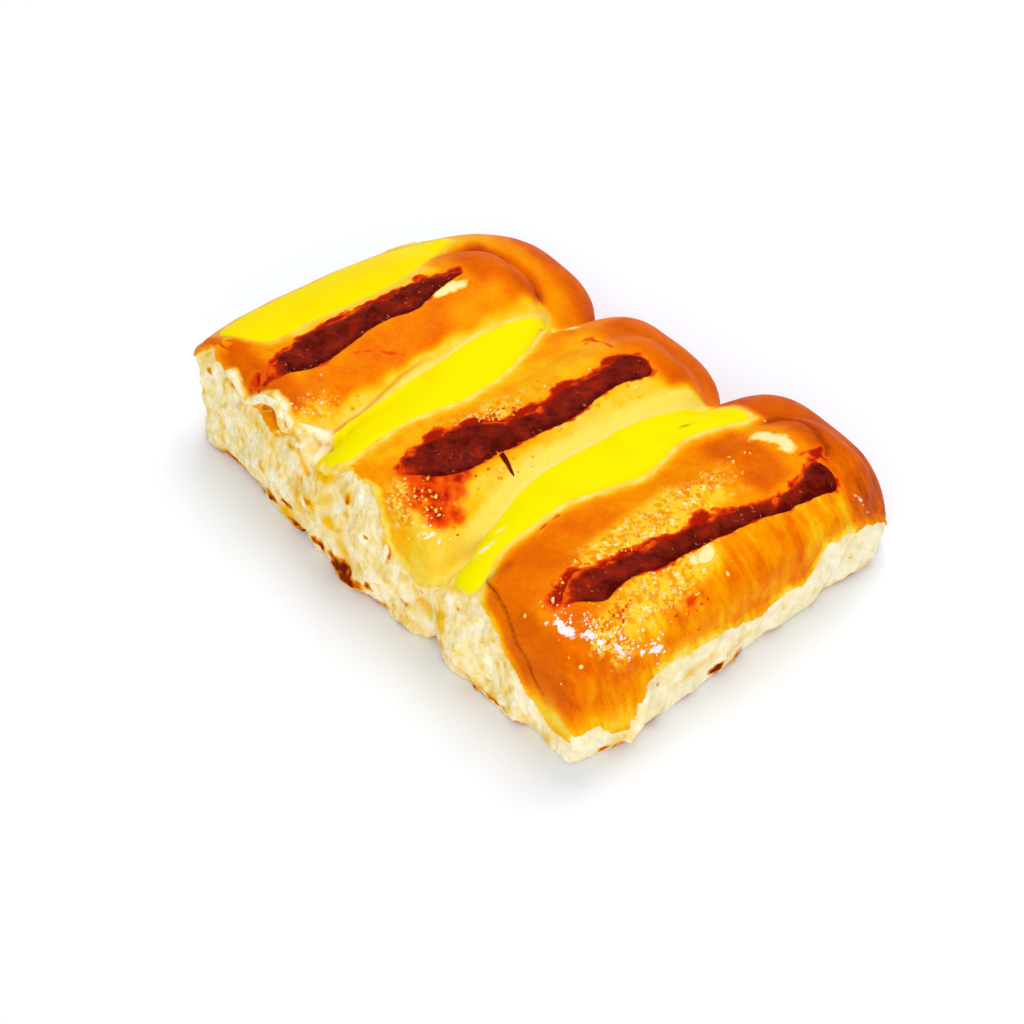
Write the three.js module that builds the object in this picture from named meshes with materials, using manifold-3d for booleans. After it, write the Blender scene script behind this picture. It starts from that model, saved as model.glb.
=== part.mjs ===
// Sweet bread: three rolls of soft dough baked side by side and pulled off the batch as one piece. A band of
// custard lies in each join, and a strip of guava jam in the slit along each roll's crest.
// Millimetres, +Z up. X runs along the row of rolls and Y along each roll, from the torn end to the crusted
// end. The origin is under the middle of the whole piece, on the surface it stands on.
import * as THREE from 'three';
import { mergeVertices } from 'three/addons/utils/BufferGeometryUtils.js';
import Module from 'manifold-3d';

const wasm = await Module();
wasm.setup();

// ---- driving dimensions, with X from the first roll's far side and Y from the torn end ----
const FAR_SIDE = -5; // torn far side of the row
const NEAR_SIDE = 178.5; // torn near side of the row
const CREST = 47.5; // top of the folded lobes above the tray
const TORN_PAST = 24; // how far each roll once ran on past the torn end
const SKEW = 0.07; // sideways drift of a roll for each millimetre along it
const ROLL_PITCH = 59.5;
const JOINS = [ROLL_PITCH, 2 * ROLL_PITCH]; // where two rolls meet
const BED_GAP = 0.4; // between a filling and the bed it lies in

// Each roll is a base layer of dough with a shorter lobe folded over on to it. x is the middle line. length
// runs from the torn end to the crusted end, where a layer loses fall as a share of its height.
const BASE = { foot: 0, height: 46.5, endRound: 24, plan: 3.2, dome: 2.8, tuck: 0.92, waist: 0.34 };
const LOBE_FOOT = 14.5; // the lobe's lower edge, inside the base
const LOBE = {
  foot: LOBE_FOOT, height: CREST - LOBE_FOOT, fall: 0.04, endRound: 17, plan: 3.6, farPlan: 3.6,
  dome: 2.3, nearDome: 2.3, tuck: 0.9, waist: 0.3, taper: 0,
};
const ROLLS = [
  {
    base: { x: 25.5, width: 75, length: 127, fall: 0.38, farPlan: 2.7, nearDome: 2.8, taper: 0 },
    lobe: { x: 33, width: 55, length: 104 },
  },
  {
    base: { x: 86, width: 67, length: 127.5, fall: 0.22, farPlan: 4.5, nearDome: 2.8, taper: 0.14 },
    lobe: { x: 93, width: 54, length: 116 },
  },
  {
    base: { x: 145.5, width: 77, length: 138, fall: 0.17, farPlan: 5, nearDome: 1.7, taper: 0.26 },
    lobe: { x: 151, width: 55, length: 130.5 },
  },
];
const TAPER_ENDS = 90; // where a tapered far side reaches its full width
const AROUND = 36; // faces round a layer of dough
const UP = 11; // faces from its foot to its ridge

// Torn dough: lumps of two sizes, where the torn end bows out, and the burnt bit sticking out at its foot.
const LUMPS = [{ cell: 9, high: 1.6 }, { cell: 4.5, high: 1.3 }];
const TORN_END = 1.5; // where the end stands between its bows
const BOWS = [{ x: 68, reach: 42, out: 5.5 }, { x: 126, reach: 11, out: 2.5 }];
const BURNT_BIT = { x: 77, z: 3, width: 5, height: 4, out: 3 };
const ROUNDED = { above: 18, by: 0.008 }; // the end leans back above this, as the square of the height
const CORNER = { near: 6, far: 4, reach: 6 }; // how much the torn end's two corners are rounded off
// Dough keeps its crust above a line that runs down from the far side of each roll to its near side.
const CRUST_LINE = { far: 46, near: [27, 27, 12] };
const SIDE_CRUST = 30; // the same line on the torn sides
const OUTSIDE = { x: [-20, 210], y: [-20, 160], z: [-2, 60] }; // clear of the dough all round

// Fillings: from and to along Y, the middle line's X at the start, half way and at the end, the full width,
// where along the strip it is widest, and how far it stands above and sinks below the crust at its edges.
// drop is how far at most the far edge lies below the near one, because a band fills up its join.
const CUSTARD = { rise: 1.2, sink: 11, drop: 15, blunt: 2.6, along: 18, across: 6 };
const GUAVA = { rise: 0.9, sink: 4.5, drop: 15, blunt: 4, along: 18, across: 5 };
const CUSTARDS = [
  { from: 8, to: 98, x: [7, 7.5, 8.5], width: 22, widest: 0.4 },
  { from: 5, to: 95, x: [63.5, 63.5, 59], width: 18, widest: 0.5, drop: 5 },
  { from: 5, to: 114, x: [124.5, 120.5, 129], width: 19, widest: 0.6, drop: 4 },
];
const GUAVAS = [
  { from: 6, to: 81, x: [27, 30.5, 34], width: 12.5, widest: 0.45 },
  { from: 15, to: 101, x: [86, 95, 99.5], width: 11.5, widest: 0.4 },
  { from: 20, to: 113, x: [152.5, 161, 169], width: 10, widest: 0.5 },
];

const { sin, cos, abs, sign, floor, max, exp, PI } = Math;
const { lerp, smoothstep } = THREE.MathUtils;
const roundPower = (value, power) => sign(value) * abs(value) ** (2 / power);

// ---- closed meshes and solids ----
// Skins a run of closed rings, all of one length, and fills in the first ring and, if asked, the last.
function shell(rings, fillLast) {
  const around = rings[0].length;
  const points = rings.flat();
  const faces = [];
  for (let r = 0; r + 1 < rings.length; r++) {
    for (let c = 0; c < around; c++) {
      const [a, b] = [r * around + c, r * around + ((c + 1) % around)];
      faces.push(a, b, b + around, a, b + around, a + around);
    }
  }
  for (const r of fillLast ? [0, rings.length - 1] : [0]) {
    const middle = rings[r].reduce((sum, p) => sum.add(p), new THREE.Vector3()).divideScalar(around);
    const m = points.push(middle) - 1;
    for (let c = 0; c < around; c++) {
      const [a, b] = [r * around + c, r * around + ((c + 1) % around)];
      faces.push(...(r === 0 ? [m, b, a] : [m, a, b]));
    }
  }
  const geometry = new THREE.BufferGeometry();
  geometry.setAttribute('position', new THREE.Float32BufferAttribute(points.flatMap((p) => p.toArray()), 3));
  geometry.setIndex(faces);
  return mergeVertices(geometry, 1e-3);
}

function solid(geometry) {
  const index = geometry.index.array;
  const triVerts = [];
  for (let t = 0; t < index.length; t += 3) {
    const [a, b, c] = index.slice(t, t + 3);
    if (a !== b && b !== c && a !== c) triVerts.push(a, b, c);
  }
  return new wasm.Manifold(new wasm.Mesh({
    numProp: 3,
    vertProperties: new Float32Array(geometry.attributes.position.array),
    triVerts: new Uint32Array(triVerts),
  }));
}

function geometryOf(manifold) {
  const { vertProperties, triVerts } = manifold.getMesh();
  const geometry = new THREE.BufferGeometry();
  geometry.setAttribute('position', new THREE.Float32BufferAttribute(vertProperties, 3));
  geometry.setIndex([...triVerts]);
  return geometry;
}

// ---- dough ----
// A layer of dough: a rounded rectangle in plan, tucked in at its foot, widest at its waist and domed above,
// with a ridge along its crest that falls away towards the crusted end. Its far side may be squarer in plan
// than its near side, and taper towards the torn end, and its near side may be rounder above the waist.
function layer({
  x, width, length, foot, height, fall, endRound, plan, farPlan, dome, nearDome, tuck, waist, taper,
}) {
  const middle = (length - TORN_PAST) / 2;
  const low = 0.25; // share of the rings below the waist
  const rings = [];
  for (let k = 0; k <= UP; k++) {
    const under = k / UP < low;
    const turn = (under ? k / UP / low : (k / UP - low) / (1 - low)) * (PI / 2);
    const above = sin(turn) ** (2 / dome);
    const up = under ? waist * (1 - cos(turn)) : waist + (1 - waist) * above;
    const tucked = tuck + (1 - tuck) * sin(turn);
    const reach = (power) => (k === UP ? 0 : under ? tucked : max(1 - above ** power, 0) ** (1 / power));
    const halfLength = (length + TORN_PAST) / 2 - endRound * (1 - reach(dome));
    rings.push(Array.from({ length: AROUND }, (_, c) => {
      const angle = (c / AROUND) * 2 * PI;
      const far = cos(angle) < 0;
      const corner = far && k < UP ? farPlan : plan;
      const y = middle + halfLength * roundPower(sin(angle), corner);
      const narrowed = far ? 1 - taper * (1 - smoothstep(y, 0, TAPER_ENDS)) : 1;
      const across = (width / 2) * narrowed * reach(far ? dome : nearDome) * roundPower(cos(angle), corner);
      const lowered = 1 - fall * max(y / length, 0) ** 1.5;
      return new THREE.Vector3(x + across + SKEW * (y - length / 3), y, foot + height * up * lowered);
    }));
  }
  return solid(shell(rings, false));
}

const roll = ({ base, lobe }) => layer({ ...BASE, ...base }).add(layer({ ...LOBE, ...lobe }));

// ---- torn dough ----
// Smooth lumps about cell across, from -1 to 1, the same on every run.
function lumps(u, v, cell) {
  const scatter = (i, j) => {
    const turned = sin(127.1 * i + 311.7 * j) * 43758.5453;
    return 2 * (turned - floor(turned)) - 1;
  };
  const [i, j] = [floor(u / cell), floor(v / cell)];
  const [s, t] = [smoothstep(u / cell - i, 0, 1), smoothstep(v / cell - j, 0, 1)];
  return lerp(
    lerp(scatter(i, j), scatter(i + 1, j), s),
    lerp(scatter(i, j + 1), scatter(i + 1, j + 1), s),
    t,
  );
}
const crags = (u, v) => LUMPS.reduce((sum, { cell, high }) => {
  const offset = 40 - 4 * cell; // keeps the two sizes of lump apart
  return sum + high * lumps(u + offset, v + 2 * offset, cell);
}, 0);

// A block whose front is torn dough. tear(u, v) is where the front stands at u along it and v up it, and
// place(u, v, depth) is the point there.
function tornBlock({ along, back, steps, tear, place }) {
  const up = OUTSIDE.z;
  const rings = [];
  for (let s = 0; s <= steps.along; s++) {
    const u = lerp(...along, s / steps.along);
    const front = Array.from({ length: steps.up + 1 }, (_, t) => {
      const v = lerp(...up, t / steps.up);
      return place(u, v, tear(u, v));
    });
    rings.push([place(u, up[1], back), place(u, up[0], back), ...front]);
  }
  return solid(shell(rings, true));
}

// The end where the piece was pulled off the next row. It bows out under the second roll and again at the
// second join, has a burnt bit of dough sticking out at its foot, and rounds back above.
function crustLine(x) {
  const i = JOINS.filter((join) => x >= join).length;
  const across = (x - (i === 0 ? 0 : JOINS[i - 1])) / ROLL_PITCH;
  return lerp(CRUST_LINE.far, CRUST_LINE.near[i], smoothstep(across, 0.3, 1));
}
const endTear = tornBlock({
  along: OUTSIDE.x,
  back: OUTSIDE.y[0] - TORN_PAST,
  steps: { along: 58, up: 15 },
  tear: (x, z) => {
    const bowed = BOWS.reduce((sum, bow) => sum + bow.out * exp(-(((x - bow.x) / bow.reach) ** 2)), 0);
    const { width, height, out } = BURNT_BIT;
    const bit = out * exp(-(((x - BURNT_BIT.x) / width) ** 2) - ((z - BURNT_BIT.z) / height) ** 2);
    const rounded = ROUNDED.by * smoothstep(x, FAR_SIDE, 30) * max(z - ROUNDED.above, 0) ** 2;
    const rough = crags(x, z) * smoothstep(crustLine(x) - z, -3, 2);
    return TORN_END - bowed - bit + rounded + rough;
  },
  place: (x, z, y) => new THREE.Vector3(x, y, z),
});

// The sides where the piece was pulled off the rolls beside it. away is 1 on the near side and -1 on the
// far side.
const sideTear = (edge, away, corner, along) => tornBlock({
  along,
  back: edge + TORN_PAST * away,
  steps: { along: 36, up: 12 },
  tear: (y, z) => {
    const rough = crags(y + edge, z) * smoothstep(SIDE_CRUST - z, -3, 3);
    return edge + away * (rough - corner * exp(-max(y, 0) / CORNER.reach));
  },
  place: (y, z, x) => new THREE.Vector3(x, y, z),
});
const nearTear = sideTear(NEAR_SIDE, 1, CORNER.near, OUTSIDE.y);
const farTear = sideTear(FAR_SIDE, -1, CORNER.far, [...OUTSIDE.y].reverse());

const dough = ROLLS.map(roll).reduce((all, one) => all.add(one));
const loaf = dough.subtract(endTear).subtract(nearTear).subtract(farTear);

// ---- fillings ----
const crust = new THREE.MeshStandardMaterial({ color: 0xe8820c, roughness: 0.35, metalness: 0 });
const custard = new THREE.MeshStandardMaterial({ color: 0xffee00, roughness: 0.3, metalness: 0 });
const guava = new THREE.MeshStandardMaterial({ color: 0x781f0c, roughness: 0.2, metalness: 0 });

const whole = new THREE.Mesh(geometryOf(loaf), crust);
const caster = new THREE.Raycaster();
const down = new THREE.Vector3(0, 0, -1);
function crustHeight(x, y) {
  caster.set(new THREE.Vector3(x, y, 2 * CREST), down);
  const [hit] = caster.intersectObject(whole);
  return hit.point.z;
}

// A lens-shaped strip whose two edges lie on the crust, grown on all sides by grow.
function strip({ from, to, x, width, widest, rise, sink, drop, blunt, along, across }, grow) {
  const rings = [];
  for (let s = 1; s < along; s++) {
    const t = (1 - cos((PI * s) / along)) / 2;
    const y = lerp(from, to, t);
    const bow = 4 * (x[1] - (x[0] + x[2]) / 2) * t * (1 - t);
    const middle = lerp(x[0], x[2], t) + bow;
    const spread = t < widest ? 1 - t / widest : (t - widest) / (1 - widest);
    const half = (width / 2) * (1 - spread ** blunt) ** (1 / 2);
    const near = crustHeight(middle + half, y);
    const far = max(crustHeight(middle - half, y), near - drop);
    rings.push(Array.from({ length: 2 * across }, (_, c) => {
      const angle = (c / across) * PI;
      const side = -cos(angle);
      const depth = sin(angle) > 0 ? rise : (sink * half) / (width / 2);
      const z = lerp(far, near, (side + 1) / 2) + sin(angle) * (depth + 1.5 * grow);
      return new THREE.Vector3(middle + (half + grow) * side, y + grow * (2 * t - 1), z);
    }));
  }
  return solid(shell(rings, true));
}

// ---- the object ----
const object = new THREE.Group();
function add(name, manifold, material) {
  const mesh = new THREE.Mesh(geometryOf(manifold), material);
  mesh.name = name;
  object.add(mesh);
}

let bread = loaf;
for (const [kind, shape, places, material] of [
  ['custard', CUSTARD, CUSTARDS, custard],
  ['guava', GUAVA, GUAVAS, guava],
]) {
  places.forEach((place, i) => {
    const size = { ...shape, ...place };
    add(`${kind}_${i + 1}`, strip(size, 0), material);
    bread = bread.subtract(strip(size, BED_GAP));
  });
}
// The tears and the beds leave a few loose crumbs, and the bread is the one large piece.
const [largest] = bread.decompose().sort((a, b) => b.volume() - a.volume());
add('bread', largest, crust);

const middle = new THREE.Box3().setFromObject(object).getCenter(new THREE.Vector3());
object.position.set(-middle.x, -middle.y, 0);
export default object;
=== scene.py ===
import math
import random

import bmesh
import bpy
import numpy as np
from mathutils import Euler, Matrix, Vector, noise
from mathutils.bvhtree import BVHTree


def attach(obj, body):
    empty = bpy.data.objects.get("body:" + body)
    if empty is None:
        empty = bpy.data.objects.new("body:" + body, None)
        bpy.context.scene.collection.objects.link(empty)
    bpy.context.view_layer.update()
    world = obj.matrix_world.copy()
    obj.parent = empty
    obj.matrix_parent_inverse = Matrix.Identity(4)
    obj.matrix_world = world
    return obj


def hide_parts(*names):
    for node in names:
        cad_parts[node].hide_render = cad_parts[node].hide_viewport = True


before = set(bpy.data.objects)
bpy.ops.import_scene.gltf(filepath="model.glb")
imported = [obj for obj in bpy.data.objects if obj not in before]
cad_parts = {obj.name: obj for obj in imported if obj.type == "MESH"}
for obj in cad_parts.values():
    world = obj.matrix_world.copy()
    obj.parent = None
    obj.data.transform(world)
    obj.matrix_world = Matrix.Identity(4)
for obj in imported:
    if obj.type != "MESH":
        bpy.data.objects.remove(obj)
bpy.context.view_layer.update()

scene = bpy.context.scene
scene.view_settings.view_transform = "Standard"


# ---- the dough ----
# Three rolls of sweet milk dough, proved and baked side by side until they grew into one mass, then torn off
# the batch. Egg glaze made the thin crust golden to orange. The torn end and the two torn sides show pale
# stringy crumb, with pockets that custard and browned dough ran into.
MM = 0.001
ROW = np.array((-86.85, -66.05, 0))  # where the row of rolls starts, from which places are measured, in mm
FACE_SIZE = 1.3  # of the dough's surface, in mm

# Where the crust ends and the crumb begins on the torn end, as (x, z), and on the two torn sides, as (y, z).
CRUST_END = (
    (-7, 34), (0, 38), (6, 43.5), (14, 41), (24, 38.7), (32, 38), (40, 37), (49, 42.4), (54, 40), (58, 37.2),
    (63, 38.5), (71, 42.8), (74, 45.4), (84, 46), (90, 42), (95, 36), (99, 29), (104, 28), (110, 27),
    (114, 30), (119, 34), (124, 40), (128, 41.7), (131, 39), (137, 36.4), (142, 32.9), (146, 27), (152, 24),
    (156, 18), (160, 14.5), (165, 12), (170, 13), (176, 12), (181, 14),
)
CRUST_NEAR = (
    (-6, 12), (4, 19), (9, 20), (13, 13), (17, 9), (21, 8), (24, 20), (28, 25), (36, 24), (47, 23.3),
    (58, 22.8), (66, 19), (74, 17.4), (85, 19.5), (92, 18.8), (97, 22.3), (101, 30), (108, 28), (115, 26),
    (122, 22), (128, 17), (133, 8), (137, -4),
)
CRUST_FAR = ((-6, 34), (8, 32), (20, 29), (45, 31), (70, 26), (90, 27), (105, 20), (116, 10), (122, -4))

# The torn end lies at y below the first of these, and the torn sides at x above the second and below the
# third.
TORN_END, TORN_NEAR, TORN_FAR = 14, 166, 3
LEANING = 0.15  # how far a surface must turn outwards to count as part of a torn side
NOT_TORN = -99

# Where the fillings lie, seen from above: (y, x of the far edge, x of the near edge).
CUSTARDS = (
    ((9.5, -1, 2.5), (12, -1.8, 9), (15, -2.2, 14.5), (18, -2.5, 17), (24, -2.7, 17.2), (31, -2.7, 17.2),
     (39, -2.7, 18.6), (46, -2.7, 19.6), (54, -2.6, 21), (61, -2.5, 21.8), (70, -1.9, 21.6), (80, 0, 18.4),
     (92, 5, 12.5), (98, 8, 9.8)),
    ((0.5, 57.5, 68), (3, 56.6, 70), (6, 56.2, 70.5), (10, 55.4, 70), (14, 53.6, 69.3), (23, 53.7, 68.9),
     (31, 54, 69), (40, 53.8, 71), (47, 54.2, 72.8), (55, 54.5, 72.8), (64, 54.5, 72.2), (74, 54.8, 69.5),
     (81, 56, 67), (89, 56.8, 63), (98, 56.3, 58)),
    ((0.8, 123, 131.5), (5, 121.6, 132), (9, 119.8, 130.6), (13, 118, 127.8), (18, 116.3, 125.8),
     (25, 114.6, 125.2), (33, 112, 124.6), (42, 110.6, 124.5), (49, 110.5, 125.7), (55, 111, 127.8),
     (62, 111.7, 129.4), (69, 112.8, 131.6), (77, 112.6, 130.7), (84, 113.7, 128.7), (91, 115, 128.5),
     (99, 116.1, 129.8), (107, 117, 133), (113, 126, 134.5)),
)
GUAVAS = (
    ((4.5, 27.5, 30), (8, 26.2, 31.6), (14, 23.7, 32), (18, 22.2, 35), (22, 21.6, 36.2), (30, 21.3, 35.6),
     (38, 22, 34.7), (46, 22.6, 33.9), (52, 25, 34.6), (59, 25, 37), (64, 25.2, 36.7), (70, 27, 35.1),
     (77, 28.9, 34), (82, 32, 34)),
    ((14, 83, 86), (17, 81.6, 90.5), (20, 79.6, 93.8), (26, 80, 97), (34, 79.4, 98.6), (40, 81.3, 99.3),
     (44, 84.4, 100), (47, 88.4, 100.1), (52, 90.8, 100.2), (59, 92.1, 101.2), (68, 92.7, 103),
     (72, 91.6, 102.6), (77, 91.8, 101.4), (84, 93.2, 101.4), (90, 92.2, 102.4), (96, 92, 104.6),
     (100, 96, 104)),
    ((16.5, 153, 154.5), (20, 150.4, 155), (24, 148, 160), (28, 147.5, 161), (34, 150.6, 159.8),
     (41, 151.7, 160.1), (48, 153.4, 163), (56, 155.8, 163.2), (63, 156.9, 164.3), (70, 157.7, 165.4),
     (77, 159.6, 166.4), (84, 162.8, 167.6), (91, 164.9, 169.7), (98, 164.2, 170.6), (105, 163.2, 171.6),
     (109, 159.8, 172.5), (112, 162.5, 172.8)),
)


def places_of(mesh):
    """A mesh's points as rows of millimetres from the start of the row."""
    flat = np.empty(3 * len(mesh.vertices))
    mesh.vertices.foreach_get("co", flat)
    return flat.reshape(-1, 3) / MM - ROW


def facing_of(mesh):
    """Which way the surface faces at each point of a mesh."""
    flat = np.empty(3 * len(mesh.vertices))
    mesh.vertex_normals.foreach_get("vector", flat)
    return flat.reshape(-1, 3)


def put_back(mesh, places):
    """Moves a mesh's points to new places."""
    mesh.vertices.foreach_set("co", ((places + ROW) * MM).ravel())
    mesh.update()


def merged(*nodes):
    """CAD nodes as one bmesh whose loose triangles are joined up."""
    shape = bmesh.new()
    for node in nodes:
        shape.from_mesh(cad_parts[node].data)
    bmesh.ops.remove_doubles(shape, verts=shape.verts, dist=0.001 * MM)
    return shape


def finished(shape, name):
    """A bmesh made into a smooth object, freeing the bmesh."""
    mesh = bpy.data.meshes.new(name)
    shape.to_mesh(mesh)
    shape.free()
    mesh.shade_smooth()
    piece = bpy.data.objects.new(name, mesh)
    scene.collection.objects.link(piece)
    return piece


def reshaped(piece, *modifiers):
    """Leaves the result of some modifiers, each a type and its settings, as a piece's mesh."""
    for kind, settings in modifiers:
        modifier = piece.modifiers.new(kind.title(), kind)
        for key, value in settings.items():
            setattr(modifier, key, value)
    shaped = piece.evaluated_get(bpy.context.evaluated_depsgraph_get())
    mesh = bpy.data.meshes.new_from_object(shaped)
    piece.modifiers.clear()
    piece.data, old = mesh, piece.data
    bpy.data.meshes.remove(old)
    mesh.name = piece.name


def ease(low, high, values):
    """A smooth step from 0 at low to 1 at high."""
    share = np.clip((values - low) / (high - low), 0, 1)
    return share * share * (3 - 2 * share)


def soft(gap, width):
    """A soft mark, 1 in its middle and faint at its half width, at distances from the middle."""
    return np.exp(-((gap / width) ** 2))


def rough(places, size, seed=0):
    """Smooth noise from about -1 to 1, of that size in mm."""
    shift = Vector((seed * 17.3, seed * 5.9, seed * 11.1))
    return np.array([noise.noise(Vector(p) / size + shift) for p in places])


def uneven(places, *coats):
    """Coats of noise added up, each of them a depth, a size in mm and a seed."""
    return sum(depth * rough(places, size, seed) for depth, size, seed in coats)


def along(table, column, values):
    """One column of a table of rows, read at values of its first column, with corners rounded over 3 mm."""
    rows = np.array(table, dtype=float)
    shifts = np.linspace(-3, 3, 5)
    return np.mean([np.interp(values + shift, rows[:, 0], rows[:, column]) for shift in shifts], axis=0)


def crumb_side(places, facing):
    """How far below the ragged edge of the crust a point lies, in mm: above 0 it is crumb."""
    x, y, z = places.T
    on_end = (y < TORN_END) & (facing[:, 1] < -LEANING)
    on_near = (x > TORN_NEAR) & (facing[:, 0] > LEANING)
    on_far = (x < TORN_FAR) & (facing[:, 0] < -LEANING)
    end = np.where(on_end, np.interp(x, *zip(*CRUST_END)) - z, NOT_TORN)
    near = np.where(on_near, np.interp(y, *zip(*CRUST_NEAR)) - z, NOT_TORN)
    far = np.where(on_far, np.interp(y, *zip(*CRUST_FAR)) - z, NOT_TORN)
    return np.maximum(np.maximum(end, near), far) + uneven(places, (1.5, 5, 3), (0.9, 1.8, 4))


def beyond(outline, places):
    """How far a point lies outside a filling's outline, in mm, below 0 inside it."""
    x, y = places.T[:2]
    sides = np.maximum(along(outline, 1, y) - x, x - along(outline, 2, y))
    return np.maximum(sides, np.maximum(outline[0][0] - y, y - outline[-1][0]))


def nearest(outlines, places):
    """The same from the nearest of some outlines."""
    return np.min([beyond(outline, places) for outline in outlines], axis=0)


def from_line(path, points):
    """How far points are from a path of straight pieces, flat or in space, and the share of its length that
    lies before the nearest place on it."""
    path = np.array(path, dtype=float)
    steps = np.diff(path, axis=0)
    lengths = np.linalg.norm(steps, axis=1)
    starts = np.concatenate(([0], np.cumsum(lengths)))
    best = np.full(len(points), np.inf)
    way = np.zeros(len(points))
    for start, step, length, passed in zip(path, steps, lengths, starts):
        share = np.clip((points - start) @ step / length**2, 0, 1)
        gap = np.linalg.norm(points - start - share[:, None] * step, axis=1)
        closer = gap < best
        best = np.where(closer, gap, best)
        way = np.where(closer, (passed + share * length) / starts[-1], way)
    return best, way


# Thin marks on the crust, seen from above: where the first roll's skin split beside its custard, streaks of
# jam and of brown, and the pale lips of split skin. Streaks and lips have a half width and a strength.
HAIRLINE = ((53.8, 12), (54, 23), (53.2, 31.6), (51.9, 40.7), (51.7, 49), (52.6, 57))
STREAKS = (
    (((37.6, 33.5), (40.2, 38.6), (43.5, 41.8), (47.1, 45.6)), 0.9, 0.85),
    (((74.3, 93.2), (75.6, 98.3), (80.2, 98.3), (87.2, 96.8)), 0.7, 0.7),
    (((128.3, 26.6), (127.3, 33.3), (126.8, 39.7)), 0.6, 0.55),
    (((132.5, 74.4), (139.5, 73.9)), 0.6, 0.45),
)
LIPS = (
    (((34.2, 60), (35.6, 70), (36.8, 76), (37.4, 83)), 1.3, 1.5),
    (((141, 101), (143, 106), (149, 108.2), (158, 107.5)), 2.2, 1.5),
    (((165, 54.5), (166.2, 60), (166.8, 66)), 1.6, 1.5),
    (((59, 99), (69, 101.5)), 2.2, 0.9),
)

dough = finished(merged(*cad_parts), "bread_dough")
reshaped(
    dough,
    ("REMESH", {"mode": "VOXEL", "voxel_size": FACE_SIZE * MM}),
    ("SMOOTH", {"factor": 0.5, "iterations": 14}),
)

# Finer faces for the crumb, but not right at its foot, and for the crust beside each of these, as far as the
# numbers say, in mm.
BY_CRUMB, FOOT, BY_JAM, BY_CUSTARD, BY_LINE = 3, 0.6, 6, 2.6, 3
places, facing = places_of(dough.data), facing_of(dough.data)
above = facing[:, 2] > 0.3
fine = (crumb_side(places, facing) > -BY_CRUMB) & (places[:, 2] > FOOT)
fine |= above & (nearest(GUAVAS, places) < BY_JAM)
fine |= above & (np.abs(nearest(CUSTARDS, places)) < BY_CUSTARD)
for path in (HAIRLINE, *[path for path, *_ in STREAKS], *[path for path, *_ in LIPS]):
    fine |= above & (from_line(path, places[:, :2])[0] < BY_LINE)
shape = bmesh.new()
shape.from_mesh(dough.data)
edges = [edge for edge in shape.edges if all(fine[vertex.index] for vertex in edge.verts)]
bmesh.ops.subdivide_edges(shape, edges=edges, cuts=1, use_grid_fill=True)
# The flat underside needs few faces.
under = [f for f in shape.faces if f.normal.z < -0.999 and f.calc_center_median().z < 0.3 * MM]
bmesh.ops.dissolve_faces(shape, faces=under, use_verts=True)
shape.to_mesh(dough.data)
shape.free()

# How the skin and the crumb are shaped, in mm. Each coat of unevenness is a depth, a size and a seed.
CRUST_EDGE = 0.8  # how far the crust stands proud where it was torn
CRUMB_SET_BACK = 0.4
CRUMB_LUMPS = ((0.6, 4.6, 1), (0.35, 2.0, 2))
CRUMB_POCKETS = (0.8, 3.4, 5)
CRUMB_FIBRES = (0.22, 1.0, 3)
CRUST_SWELLS = ((0.28, 14, 6), (0.07, 4.5, 7))
COARSE_LUMPS = ((0.6, 3.0, 16), (0.6, 1.6, 17))
PULLED = np.array([1, 0.6, 0.65])  # the crumb's lumps are longer by one over these, along x, y and z
HAIRLINE_DEPTH, HAIRLINE_WIDTH = 0.1, 0.5
CREASE_DEPTH, CREASE_WIDTH = 0.6, 0.6
BARE_DEPTH, BARE_WIDTH = 0.7, 1.2
JAM_BANK = 0.35  # how far the crust swells beside a slit, on the side where no jam ran over
JAM_BED = 0.45  # how far it is sunk below the jam
SUGAR_HEIGHT = 0.4

# The folds where each lobe ends on its base layer, seen from above, with their depths and widths. The crease
# runs down the torn end, as (x, z), where the third roll's skin was pulled over.
FOLDS = (
    (((19.6, 78), (16.7, 87), (15.4, 96), (18.6, 102), (25, 105.2), (31, 106.6), (37, 106.7), (43, 105),
      (49, 101.3), (54.4, 94.5)), 1.1, 1.6),
    (((66, 104), (78, 111), (92, 115), (104, 111), (110, 101)), 0.3, 2.2),
    (((137.7, 111.8), (139.6, 118.6), (145.2, 121.4), (153, 119.7), (160, 117.2), (166, 111)), 0.8, 1.2),
)
CREASE = (
    (129, 45), (136, 44.3), (141.5, 41.9), (144.8, 38.9), (150.8, 34.2), (155.4, 29.4), (160.7, 25.7),
    (164, 21),
)
# Torn skin that curled up, in space: the pale rolled edges, each with its radius and height, and the sunk
# skin seen between them, browned, and painted darker in its hollows and holes as shade.
CURLS = (
    (((14, 2.8, 40), (17.6, 3.2, 43.5), (20.2, 3, 42.2), (22.5, 2.2, 40.1), (25.3, 1.5, 39.2)), 1.3, 1.5),
    (((26.6, 2.3, 37.9), (31, 3.2, 43.3), (35.4, 5, 46), (39, 5.3, 46), (41.9, 4, 44.8), (46, 3, 43)),
     1.5, 1.6),
    (((49, 4, 42.4), (51.5, 8, 41), (54, 11.5, 38.6), (55.6, 12.5, 36.5), (56, 8, 35), (57, 3, 34.5)),
     1.9, 1.4),
    (((52, 5, 39.7), (54.4, 5.9, 36.7), (56, 2.5, 33.8)), 2.2, 0.6),
    (((172, 1, 9), (177, 3, 11), (178.5, 9, 9), (178.2, 14, 7)), 2.0, 0.9),
    (((178, 24, 6), (179, 25, 14), (178.5, 27, 20)), 2.4, 1.1),
)
BARE_SKIN_AND_SHADE = (
    ((16, 2.6, 37), (19, 2.7, 38.5), (21.5, 2, 37)),
    ((32.5, 2.3, 40.5), (35, 2.3, 41.9)),
    ((40, 0.5, 34.9), (43.6, 1.8, 38.3), (47.8, 2.7, 41), (50, 2.5, 39.5)),
    ((46.4, 0.6, 36), (51, 1.3, 37), (54, 0.7, 33.6), (58, -0.6, 30)),
)
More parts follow.
